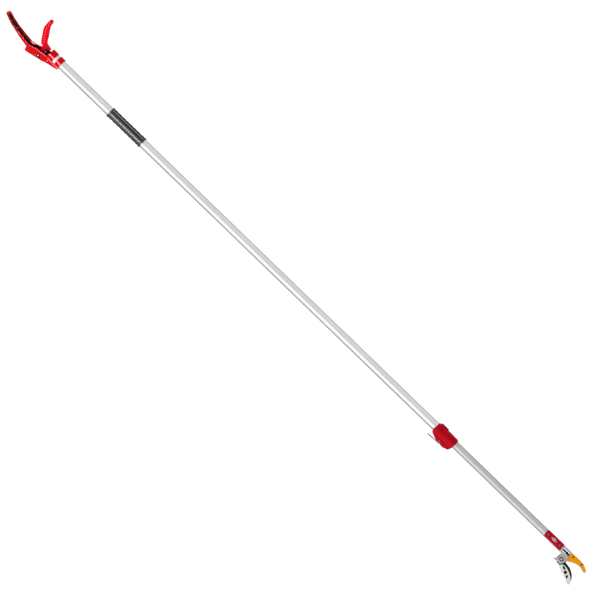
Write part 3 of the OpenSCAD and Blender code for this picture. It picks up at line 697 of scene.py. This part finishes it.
def head_cover():
    """The cover plate, crowned across, with clipped corners, a sloping nose and a border line."""
    c = 3.0
    outline = [(COVER_REAR, -COVER_HALF + c), (COVER_REAR + c, -COVER_HALF), (-c, -COVER_HALF),
               (0, -COVER_HALF + c), (0, COVER_HALF - c), (-c, COVER_HALF),
               (COVER_REAR + c, COVER_HALF), (COVER_REAR, COVER_HALF - c)]
    f = Field((COVER_REAR - 0.5, -10.4, 2.6), (0.5, 10.4, 13.4), 0.45)
    crown = np.hypot(f.y, f.z - (COVER_TOP - 26)) - 26
    body = both(f.plate(outline, 3, COVER_TOP + 3), crown, 1.2)
    body = both(body, f.z - COVER_TOP + 0.55 * (f.x + 5), 0.6)
    body = cut(body, f.rod(COVER_REAR - 5, 5, INNER_R + 0.05))
    for x in COVER_RIVETS:
        body = cut(body, f.pin((x, 0), 3.4, COVER_TOP - 0.5, 20), 0.3)
    border = np.abs(np.hypot((f.x - BADGE_X) / 2.4, f.y) - 4.4) - 0.35
    body = cut(body, np.maximum(border, COVER_TOP - 0.35 - f.z), 0.2)
    from_field("head_cover.plate", f, body, HEAD, COVER_RED, "boom",
               ["head_cover"], keep=0.7)


def washer(r_in, r_out, low, high):
    """Profile of a flat ring."""
    return [(r_in, low), (r_out, low), (r_out, high), (r_in, high), (r_in, low)]


def cover_fittings():
    """The cover's two rivets with black rings of painted shade in their recesses, and the plain
    plate in place of a mark.
    """
    for i, x in enumerate(COVER_RIVETS):
        # Painted shade: a black ring in each rivet's recess stands in for the shade round the
        # head.
        lathe(f"cover_rivets.seat_{i}", washer(2.9, 3.4, COVER_TOP - 0.5, COVER_TOP - 0.1), HEAD,
              BLACK_STEEL_AND_SHADE, "boom", centre=(x, 0), steps=32)
        lathe(f"cover_rivets.head_{i}", dome(2.6, 0.9, COVER_TOP - 0.4, 0.3), HEAD, BROWN_RIVET,
              "boom", ["cover_rivets"] if i == 0 else (), centre=(x, 0), steps=32)
    f = Field((-40.5, -4.4, COVER_TOP - 0.4), (-20.5, 4.4, COVER_TOP + 0.7), 0.22)
    along = np.abs(f.x - BADGE_X)
    oval = np.hypot(along * 0.85, f.y * 1.2)
    bar = np.maximum(along - 9.2, np.abs(f.y) - 1.6)
    badge = thick(join(oval - 4.9, bar, 0.8), f.z, COVER_TOP - 0.3, COVER_TOP + 0.5, 0.15)
    slots = np.maximum(np.abs(along - 7.0) - 1.2, np.abs(f.y) - 0.6)
    grooves = np.minimum(np.abs(oval - 3.2) - 0.45, slots)
    badge = cut(badge, np.maximum(grooves, COVER_TOP - 0.1 - f.z), 0.1)
    from_field("cover_badge.emblem", f, badge, HEAD, BADGE, "boom",
               ["cover_badge"], keep=0.6)


def head_frame():
    """The cast frame: a spigot in the tube, a disc, and a cheek with the window and the spur."""
    cheek = ([(0, 8.6), (26.5, 9.8), (27.9, 8.2), (30.6, -15.7), (29.5, -23.2)]
             + arc(BLADE_PIVOT, 11.5, 0, -105, 10)
             + smooth([(1.5, -36.4), (0.6, -35.3), (3.5, -31.1), (7.4, -25.5), (8.6, -19.5),
                       (8.3, -15.5), (6, -12.2), (3, -9), (0, -8)], 3))
    arm = [(0, 5.8), (28, 5.8), (28, 8.2), (26.5, 9.8), (0, 8.6)]
    f = Field((COVER_REAR + 2, -37, -11), (32, 11, 10.4), 0.5)
    body = f.rod(COVER_REAR + 3, 0.2, 9.55)
    disc = np.maximum(f.rod(0, 4, INNER_R, 0.4), np.maximum(np.abs(f.z + 0.05) - 7.95, -f.z - 8))
    body = join(body, disc, 0.3)
    window = outline_distance(f.x, f.y, [(4, -5), (28, -5), (28, 5.4), (4, 5.4)])
    flat = cut(outline_distance(f.x, f.y, cheek), window + 0.4)
    body = join(body, thick(flat, f.z, 4.1, 7.9, 0.9), 0.8)
    body = join(body, f.plate(arm, 1.1, 7.9, 0.7), 0.4)
    body = cut(body, f.rod(COVER_REAR, 5, 5.0))
    body = cut(body, f.pin(BLADE_PIVOT, 4.05, 0, 20))
    from_field("head_frame.casting", f, body, HEAD, CAST, "boom",
               ["head_frame"], keep=0.7)


def hold_pad():
    """The orange hook plate with a faint crease, and its two rivets, near black as painted shade.
    """
    outline = ([(28.3, 8.6)] + smooth([(30, 9.0)] + HOOK_SPINE + HOOK_TIP, 3)
               + smooth(HOOK_INNER, 3) + [(30.9, -15.6)])
    f = Field((27.5, -16.5, 3.9), (88.8, 10, 8.8), 0.4)
    flat = outline_distance(f.x, f.y, outline)
    body = thick(flat, f.z, 4.1, 8.4, 1.5)
    crease = np.hypot(f.x - 44, f.y + 42) - 42.5
    body = np.maximum(body, f.z - 8.4 + 0.35 * np.clip(1 - np.abs(crease) / 1.2, 0, 1))
    from_field("hold_pad.moulding", f, body, HEAD, ORANGE, "boom", ["hold_pad"],
               keep=0.6)
    # The pad's rivet heads are near black as painted shade.
    for i, p in enumerate(PAD_RIVETS):
        lathe(f"pad_rivets.head_{i}", dome(2.6, 0.7, 8.3, 0.2), HEAD, SHADED_RIVET, "boom",
              ["pad_rivets"] if i == 0 else (), centre=p, steps=32)


def pivot_bolt():
    """The bolt that the blade turns on: a collar, a groove lined in black as painted shade, and a
    dome.
    """
    collar = [(0, 8.5), (7.2, 8.5), (7.2, 9.4), (6.9, 9.9), (6.3, 10.2), (5.5, 10.2), (5.1, 9.4),
              (3.7, 9.3)]
    lathe("pivot_bolt.head", collar + dome(3.5, 2.7, 9.4, 0.2, 12)[1:], HEAD, CHROME, "boom",
          ["pivot_bolt"], centre=BLADE_PIVOT, steps=64)
    # Painted shade: the black ring lines the groove under the collar, standing in for its shade.
    lathe("pivot_bolt.groove", washer(3.4, 5.4, 9.2, 9.7), HEAD, BLACK_STEEL_AND_SHADE, "boom",
          centre=BLADE_PIVOT)
    lathe("pivot_bolt.shank", [(0, -7), (3.6, -7), (4, -6.6), (4, 8.5), (0, 8.5)], HEAD, CHROME,
          "boom", centre=BLADE_PIVOT)


BLADE_EDGE = [(32.7, -20.6), (40, -21.3), (46.8, -22.4), (52.7, -24.4), (58.2, -27.1),
              (66.3, -32.3), (72.3, -39.3), (77, -48)]
BLADE_BACK = [(78.4, -56), (73.4, -58.4), (62.4, -53.4), (51, -49.5), (43, -47.2),
              (31.4, -41.7), (21.6, -37.6)]
HOLD_EDGE = [(28.6, -30.1), (36.5, -28.6), (44, -29.3), (51.5, -31.4), (58.7, -34.4),
             (65, -38.4), (70.2, -42.5), (77.2, -49.5), (79.4, -54.5), (78.6, -58)]
BLADE_BACK_Z, BLADE_FRONT_Z, HOLD_FRONT_Z = 1.4, 3.8, 5.6
BLADE_PIN = (25.8, -1.14)
WITHIN_EDGE = smooth(BLADE_EDGE, 4) + [(60, -10), (30, -5)]


def cutting_blade():
    """The black blade with its ground edge, its heel and the tail that the front rod pulls."""
    edge = smooth(BLADE_EDGE, 4)
    outline = edge + BLADE_BACK + [(20, -30)]
    tail = [(28, -27), (33, -20.6), (BLADE_PIN[0] + 4, BLADE_PIN[1]),
            (BLADE_PIN[0] - 4, BLADE_PIN[1]), (9, -22)]
    heel = [(14.8, -37), (19.2, -37), (22, -30), (14, -30)]
    f = Field((5, -60, 1.1), (80, 4, 4.1), 0.34)
    flat = outline_distance(f.x, f.y, outline)
    for extra in (outline_distance(f.x, f.y, tail), outline_distance(f.x, f.y, heel),
                  np.hypot(f.x - BLADE_PIVOT[0], f.y - BLADE_PIVOT[1]) - 11.4,
                  np.hypot(f.x - BLADE_PIN[0], f.y - BLADE_PIN[1]) - 4):
        flat = np.minimum(flat, extra)
    for p, r in ((BLADE_PIVOT, 4.05), (BLADE_PIN, 1.5)):
        flat = np.maximum(flat, r - np.hypot(f.x - p[0], f.y - p[1]))
    body = thick(flat, f.z, BLADE_BACK_Z, BLADE_FRONT_Z, 0.15)
    from_edge = outline_distance(f.x, f.y, WITHIN_EDGE)
    grind = f.z - (BLADE_FRONT_Z - 0.55 * np.clip(3.2 - from_edge, 0, 3.2))
    body = np.maximum(body, np.where(f.x > 31, grind, body))
    from_field("cutting_blade.steel", f, body, HEAD, BLACK_BLADE, "blade",
               ["cutting_blade"], keep=0.6)


def hold_plate():
    """The dished silver plate with three windows that holds the cut stem, and its two rivets."""
    outline = smooth(HOLD_EDGE, 3) + BLADE_BACK[1:]
    f = Field((20, -60, 3.5), (80.2, -27, 5.9), 0.3)
    flat = outline_distance(f.x, f.y, outline)
    rim_line = outline_distance(f.x, f.y, smooth(HOLD_EDGE, 3) + [(90, -20), (30, 0)])
    leaf = np.maximum(np.hypot(f.x - 41.4, f.y + 28) - 9.3, np.hypot(f.x - 37.4, f.y + 40.5) - 9.3)
    hole = np.hypot(f.x - 49.5, f.y + 40.2) - 4.4
    corner = outline_distance(f.x, f.y, [(59, -41.6), (62.5, -45.2), (62.5, -49), (56.5, -46.4)])
    windows = np.minimum(np.minimum(leaf, hole), corner - 0.8)
    clear = np.hypot(f.x - BLADE_PIVOT[0], f.y - BLADE_PIVOT[1]) - 14.3
    flat = np.maximum(np.maximum(flat, -windows), -clear)
    from_edge = outline_distance(f.x, f.y, WITHIN_EDGE)
    flat = np.maximum(flat, 6.0 * np.clip((77 - f.x) / 14, 0, 1) - from_edge)
    body = thick(flat, f.z, BLADE_FRONT_Z, HOLD_FRONT_Z, 0.3)
    dish = f.z - (HOLD_FRONT_Z - 0.5 * np.clip((rim_line - 3.0) / 1.0, 0, 1)
                  * np.clip((windows - 1.0) / 0.8, 0, 1))
    body = np.maximum(body, dish)
    from_field("hold_plate.stamping", f, body, HEAD, STAINLESS, "blade",
               ["hold_plate"], keep=0.6)
    for i, p in enumerate(PLATE_RIVETS):
        lathe(f"plate_rivets.head_{i}", dome(1.9, 0.5, HOLD_FRONT_Z - 0.4, 0.3), HEAD, STAINLESS,
              "blade", ["plate_rivets"] if i == 0 else (), centre=p, steps=24)


# ---- Small fittings ----


def spring():
    """Wound torsion spring beside the lever's hub, with one leg along the grip's channel."""
    wire, coil_r, coil_z, pitch, turns, steps = 0.55, 3.95, 3.6, 1.08, 3, 28
    points = []
    for i in range(turns * steps + 1):
        a = 2 * math.pi * i / steps + math.pi / 2
        points.append((PIVOT[0] + coil_r * math.cos(a), PIVOT[1] + coil_r * math.sin(a),
                       coil_z + pitch * i / steps))
    end = points[-1]
    points += [(end[0] - 12, end[1] + 0.2, end[2]), (end[0] - 31, end[1] + 0.6, end[2])]
    curve = bpy.data.curves.new("lever_return_spring.wire", "CURVE")
    curve.dimensions = "3D"
    curve.bevel_depth = wire * MM
    curve.bevel_resolution = 3
    curve.use_fill_caps = True
    line = curve.splines.new("POLY")
    line.points.add(len(points) - 1)
    for p, q in zip(line.points, points):
        p.co = (*(TOOL @ Vector(q)), 1)
    wound = bpy.data.objects.new("spring_curve", curve)
    bpy.context.scene.collection.objects.link(wound)
    graph = bpy.context.evaluated_depsgraph_get()
    mesh = bpy.data.meshes.new_from_object(wound.evaluated_get(graph))
    bpy.data.objects.remove(wound)
    mesh.name = "lever_return_spring.wire"
    mesh.materials.clear()
    add_piece("lever_return_spring.wire", mesh, SPRING, "handle_and_pole",
              ["lever_return_spring"])


def pins():
    """The pins of the lever, its link and the clamp, with black rings of painted shade in the
    recesses round the lever's.
    """
    z = PIN_SEAT_Z
    for side, name in ((1, "near"), (-1, "far")):
        # Painted shade: black rings line the pin's counterbores, standing in for the shade in
        # these recesses.
        lathe(f"pivot_recess.{name}", [(3.0, side * (z - 0.1)), (3.0, side * (z + 0.25)),
                                       (5.9, side * (z + 0.25)), (6.15, side * (z + 2.0)),
                                       (6.25, side * (z + 2.0)), (6.25, side * (z - 0.1)),
                                       (3.0, side * (z - 0.1))],
              TOOL, BLACK_NYLON_AND_SHADE, "handle_and_pole", centre=PIVOT)
    lathe("lever_pivot_pin.head", dome(3.1, 1.7, z, 0.2, 10), TOOL, CHROME, "handle_and_pole",
          ["lever_pivot_pin"], centre=PIVOT)
    lathe("lever_pivot_pin.shank", [(0, -z - 1), (2.1, -z - 1), (2.6, -z - 0.5), (2.6, z), (0, z)],
          TOOL, CHROME, "handle_and_pole", centre=PIVOT)
    lathe("lever_link_pin.head", dome(2.9, 1.0, 5.4, 0.2, 8), TOOL, DARK_ZINC_AND_SHADE, "squeeze_lever",
          ["lever_link_pin"], centre=LINK_PIN)
    lathe("lever_link_pin.shank", [(0, -6.6), (2.9, -6.6), (2.9, -5.6), (2, -5.6), (2, 5.6),
                                   (0, 5.6)],
          TOOL, CHROME, "squeeze_lever", centre=LINK_PIN)
    lathe("lock_pivot_pin.head", dome(2.4, 0.8, 9.7, 0.3), LOCK, BROWN_RIVET, "handle_and_pole",
          ["lock_pivot_pin"], centre=LOCK_PIN, steps=32)
    lathe("lock_pivot_pin.shank", [(0, -9.8), (2, -9.8), (2, 9.8), (0, 9.8)], LOCK, ZINC,
          "handle_and_pole", centre=LOCK_PIN, steps=32)


def lock_lever():
    """The clamp's bent steel strip with its boss on the pin, painted dark as shade where it stands
    off the body.
    """
    strip = [(14.6, -28.4), (14.6, -26.2), (-14, -26.2), (-20, -26.8), (-26.6, -27.6),
             (-26.6, -29.4), (-20, -29.0), (-14, -28.4)]
    web = [(14, -26.6), (14.2, -20.8), (4.8, -20.8), (1, -26.6)]
    f = Field((-27, -30, -6.3), (15.2, -15.6, 6.3), 0.4)
    corner = np.hypot(np.maximum(-f.x - 22.6, 0), np.maximum(np.abs(f.z) - 2, 0)) - 4
    body = both(f.plate(strip, -6, 6, 0.35), corner, 0.2)
    body = join(body, f.plate(web, -5, 5, 0.3), 0.4)
    body = join(body, f.pin(LOCK_PIN, 4.8, -5, 5, 0.3), 0.4)
    body = cut(body, f.pin(LOCK_PIN, 2.05, -10, 10))
    # Painted shade: the strip's rear, behind x = -5, takes the dark finish for the shade where it
    # stands off the housing; the front takes the lighter cast finish.
    from_field("lock_lever.strip", f, np.maximum(body, f.x + 5), LOCK, DARK_ZINC_AND_SHADE, "clamp_lever",
               ["lock_lever"], keep=0.6)
    from_field("lock_lever.sole", f, np.maximum(body, -5 - f.x), LOCK, CAST, "clamp_lever",
               keep=0.6)


def repaint():
    """Better finishes for the CAD nodes whose shape is right."""
    finishes = {
        "outer_tube": TUBE, "inner_tube": INNER_TUBE, "pull_tube": ZINC, "pull_rod": BLACK_STEEL_AND_SHADE,
        "rod_end": BLACK_STEEL_AND_SHADE, "pull_yoke": BLACK_STEEL_AND_SHADE, "yoke_rivet": ZINC, "pivot_clip": ZINC,
        "collar_screw": ZINC, "label_band": LABEL, "rear_rod_guide": WHITE_NYLON,
        "lock_brake_shoe": BLACK_NYLON_AND_SHADE, "lock_clamp_plate": CAST, "lock_clamp_screw": ZINC,
        "front_guide_bush": WHITE_NYLON, "rod_clutch": BRASS, "tail_bush": WHITE_NYLON,
        "frame_rivets": ZINC, "hook_blade": HOOK_STEEL, "pivot_nut": ZINC, "pivot_washers": ZINC,
        "front_rod_bush": WHITE_NYLON, "blade_link_pin": ZINC,
    }
    for name, finish in finishes.items():
        mesh = NODE[name].data
        mesh.materials.clear()
        mesh.materials.append(finish)


# ---- Floor, light and camera ----

# The view leans from straight above towards the lever's side. The pole falls across the picture.
VIEW_TILT = math.radians(28)
ACROSS = Vector((0, math.cos(VIEW_TILT), -math.sin(VIEW_TILT)))
TOWARDS = Vector((0, math.sin(VIEW_TILT), math.cos(VIEW_TILT)))
POLE_RUN, POLE_FALL = 0.7192, 0.6948
MIDDLE_X, MIDDLE_OFF = 862.6, -9.2
TARGET = TOOL @ (Vector((MIDDLE_X, 0, 0)) + MIDDLE_OFF * ACROSS)
DISTANCE = 8.0
FRAME_WIDTH = 1.56
FLOOR_PLACE = (0, 2.35, -0.3508)
LAMP_RUN, LAMP_Z = 3.8, 1.75


def camera():
    """A long lens along the view, turned so that the pole falls to the right."""
    data = bpy.data.cameras.new("camera")
    data.sensor_width = 36
    data.lens = data.sensor_width * DISTANCE / FRAME_WIDTH
    data.clip_end = 50
    eye = bpy.data.objects.new("camera", data)
    right = POLE_RUN * Vector((1, 0, 0)) + POLE_FALL * ACROSS
    up = -POLE_FALL * Vector((1, 0, 0)) + POLE_RUN * ACROSS
    turn = Matrix((right, up, TOWARDS)).transposed().to_4x4()
    eye.matrix_world = Matrix.Translation(TARGET + DISTANCE * TOWARDS) @ turn
    bpy.context.scene.collection.objects.link(eye)
    bpy.context.scene.camera = eye


def softbox(name, place, size, power, colour=(1, 1, 1)):
    """A rectangular light that faces the middle of the pole."""
    data = bpy.data.lights.new(name, "AREA")
    data.shape = "RECTANGLE"
    data.size, data.size_y = size
    data.energy = power
    data.color = colour
    lamp = bpy.data.objects.new(name, data)
    lamp.location = place
    lamp.rotation_mode = "QUATERNION"
    away = Vector((0, lamp.location.y, lamp.location.z))
    lamp.rotation_quaternion = away.to_track_quat("Z", "X") @ Matrix.Rotation(
        math.pi / 2, 3, "Z").to_quaternion()
    bpy.context.scene.collection.objects.link(lamp)
    return lamp


# Brightness and tint of the surroundings by angle from overhead, towards the lever's side.
SURROUND = ((-180, (0.50, 0.50, 0.52)), (-150, (0.16, 0.17, 0.22)), (-118, (0.12, 0.14, 0.22)),
            (-92, (0.20, 0.23, 0.31)), (-67, (0.52, 0.54, 0.58)), (-41, (0.86, 0.87, 0.89)),
            (-20, (1.06, 1.06, 1.06)), (0, (0.96, 0.96, 0.96)), (26, (0.60, 0.60, 0.60)),
            (44, (0.54, 0.54, 0.54)), (62, (0.66, 0.66, 0.65)), (88, (0.78, 0.78, 0.77)),
            (115, (0.70, 0.70, 0.70)), (140, (0.40, 0.40, 0.40)), (180, (0.50, 0.50, 0.52)))


def surroundings():
    """A soft studio all round: brighter overhead and on the lever's side, dim and cool behind."""
    world = bpy.data.worlds.new("studio")
    world.use_nodes = True
    nodes, links = world.node_tree.nodes, world.node_tree.links
    place = nodes.new("ShaderNodeTexCoord")
    parts = nodes.new("ShaderNodeSeparateXYZ")
    links.new(place.outputs["Generated"], parts.inputs["Vector"])
    turn = nodes.new("ShaderNodeMath")
    turn.operation = "ARCTAN2"
    links.new(parts.outputs["Y"], turn.inputs[0])
    links.new(parts.outputs["Z"], turn.inputs[1])
    share = nodes.new("ShaderNodeMapRange")
    share.inputs["From Min"].default_value = -math.pi
    share.inputs["From Max"].default_value = math.pi
    links.new(turn.outputs[0], share.inputs["Value"])
    ramp = nodes.new("ShaderNodeValToRGB")
    stops = ramp.color_ramp.elements
    for i, (angle, colour) in enumerate(SURROUND):
        stop = stops[i] if i < 1 else stops.new((angle + 180) / 360)
        stop.position = (angle + 180) / 360
        stop.color = (*colour, 1)
    links.new(share.outputs["Result"], ramp.inputs["Fac"])
    links.new(ramp.outputs["Color"], nodes["Background"].inputs["Color"])
    nodes["Background"].inputs["Strength"].default_value = 1.0
    bpy.context.scene.world = world


def studio():
    """Soft boxes along the pole, gloss lights for chosen finishes, and a pale floor well below."""
    surroundings()
    softbox("key", (0, -0.7, 1.8), (LAMP_RUN, 1.9), 36).visible_glossy = False
    softbox("strip", (0, -0.35, LAMP_Z), (LAMP_RUN, 0.16), 3)
    for name, y, width, power, finishes in (("gleam", 0.06, 1.0, 900, GLEAM_ON),
                                            ("sheen", -0.16, 0.8, 105, SHEEN_ON)):
        lamp = softbox(name, (0, y, LAMP_Z), (LAMP_RUN, width), power)
        lamp.visible_diffuse = False
        lit = bpy.data.collections.new(name + "_pieces")
        for thing in bpy.context.scene.objects:
            if thing.type == "MESH" and thing.data.materials[0] in finishes:
                lit.objects.link(thing)
        lamp.light_linking.receiver_collection = lit
    bpy.context.scene.view_settings.view_transform = "Standard"
    bm = bmesh.new()
    bmesh.ops.create_grid(bm, x_segments=8, y_segments=8, size=4)
    mesh = bpy.data.meshes.new("floor")
    bm.to_mesh(mesh)
    bm.free()
    floor = bpy.data.objects.new("floor", mesh)
    floor.location = FLOOR_PLACE
    mesh.materials.append(material("floor_paper", (0.98, 0.98, 0.98), 0.9, 4, 0.0, vary=0.004,
                                   specular=0.0))
    floor.visible_glossy = False
    bpy.context.scene.collection.objects.link(floor)


# ---- The whole scene ----

camera()
handle_body()
grip_inlay()
lever_parts()
soft_grip()
lock_housing()
lock_lever()
head_cover()
cover_fittings()
head_frame()
hold_pad()
pivot_bolt()
cutting_blade()
hold_plate()
spring()
pins()
repaint()
studio()
